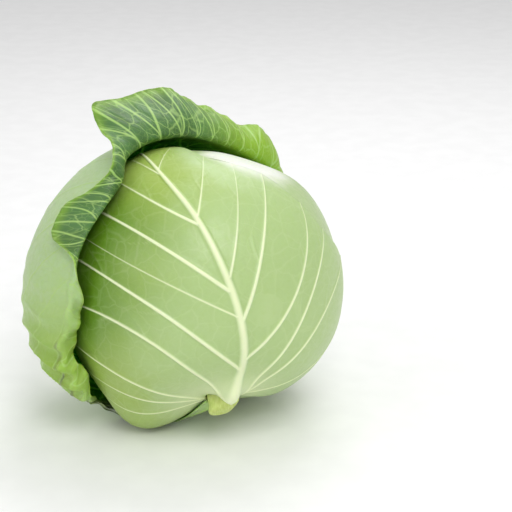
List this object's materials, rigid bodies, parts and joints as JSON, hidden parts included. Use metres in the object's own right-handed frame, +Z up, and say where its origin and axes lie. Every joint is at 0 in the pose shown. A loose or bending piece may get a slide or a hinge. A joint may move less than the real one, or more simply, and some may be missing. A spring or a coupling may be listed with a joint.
{
  "type": "cabbage head",
  "caption": "Round white cabbage head with a cut stem stump, ribbed wrapper leaves closed over a packed heart, and a loose outer leaf with a rolled, wavy rim.",
  "frame": {"origin": "on the flat spot the head rests on, straight below the centre of the head", "axes": "+Z up, -Y towards the side that shows the cut stem and the front wrapper leaf, +X to the right seen from there"},
  "size_m": [0.2054, 0.1876, 0.2062],
  "materials": {
    "stem": "moist fibrous stem, pale yellow green",
    "heart_leaves": "packed pale inner leaves",
    "wrapper_left": "waxy leaf, pale green with lighter ribs",
    "wrapper_right": "waxy leaf, pale green with lighter ribs",
    "wrapper_front": "waxy leaf, light green with pale yellow ribs",
    "outer_green": "waxy leaf, darker blue green inside, paler outside, fine pale veins"
  },
  "bodies": {
    "root": {"stem_stump": "stem", "heart": "heart_leaves", "wrapper_leaf_left": "wrapper_left", "wrapper_leaf_right": "wrapper_right", "wrapper_leaf_front": "wrapper_front", "outer_leaf": "outer_green"}
  },
  "joints": []
}
